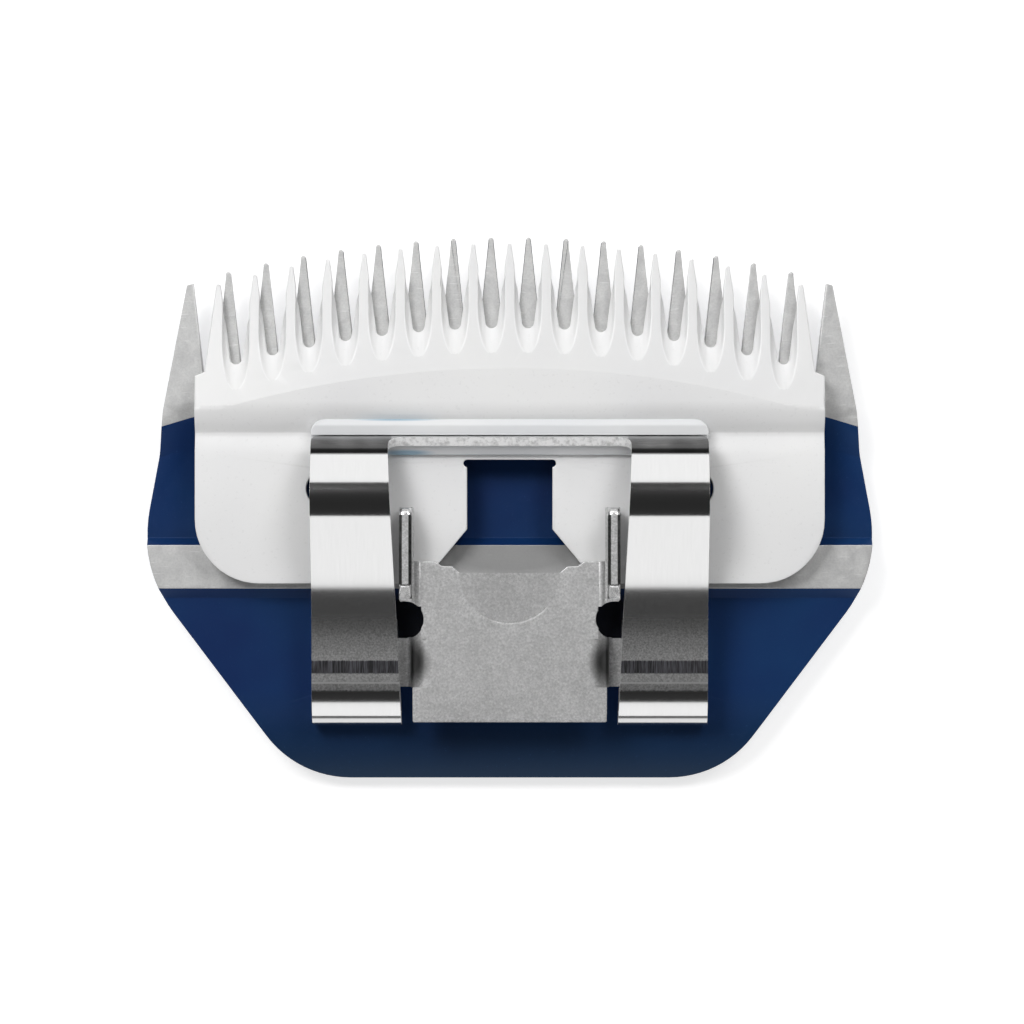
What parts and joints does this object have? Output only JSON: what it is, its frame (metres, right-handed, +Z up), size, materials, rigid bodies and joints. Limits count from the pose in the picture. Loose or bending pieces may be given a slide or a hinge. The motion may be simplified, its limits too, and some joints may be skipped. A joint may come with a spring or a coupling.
{
  "type": "detachable clipper blade set",
  "caption": "Wide detachable shearing blade set: toothed steel comb, sliding ceramic cutter, U-shaped tension spring with guide strip, and hinge socket held by screws.",
  "frame": {"origin": "middle of the comb, on its skin face", "axes": "+X across the teeth, +Y towards the tooth tips, +Z up from the skin face towards the clipper"},
  "size_m": [0.0604, 0.045, 0.0106],
  "materials": {
    "comb": "thin dark blue coating over hardened tool steel, with the rail, the front land and the tooth tops ground bare",
    "cutter": "white zirconia, glossy as moulded, cutting face lapped",
    "spring_steel": "bright polished spring steel",
    "guide_plastic": "pale translucent moulded plastic",
    "socket_steel": "stamped steel sheet with a fine blasted grain",
    "screw_steel": "turned steel, lightly oiled"
  },
  "bodies": {
    "comb": {"comb": "comb", "tension_spring": "spring_steel", "spring_guide": "guide_plastic", "socket": "socket_steel", "screw_left": "screw_steel", "screw_right": "screw_steel"},
    "cutter": {"cutter": "cutter"}
  },
  "joints": [
    {"name": "cutter_slide", "type": "slide", "parent": "comb", "child": "cutter", "axis": [1, 0, 0], "range_m": [-0.0016, 0.0016]}
  ]
}
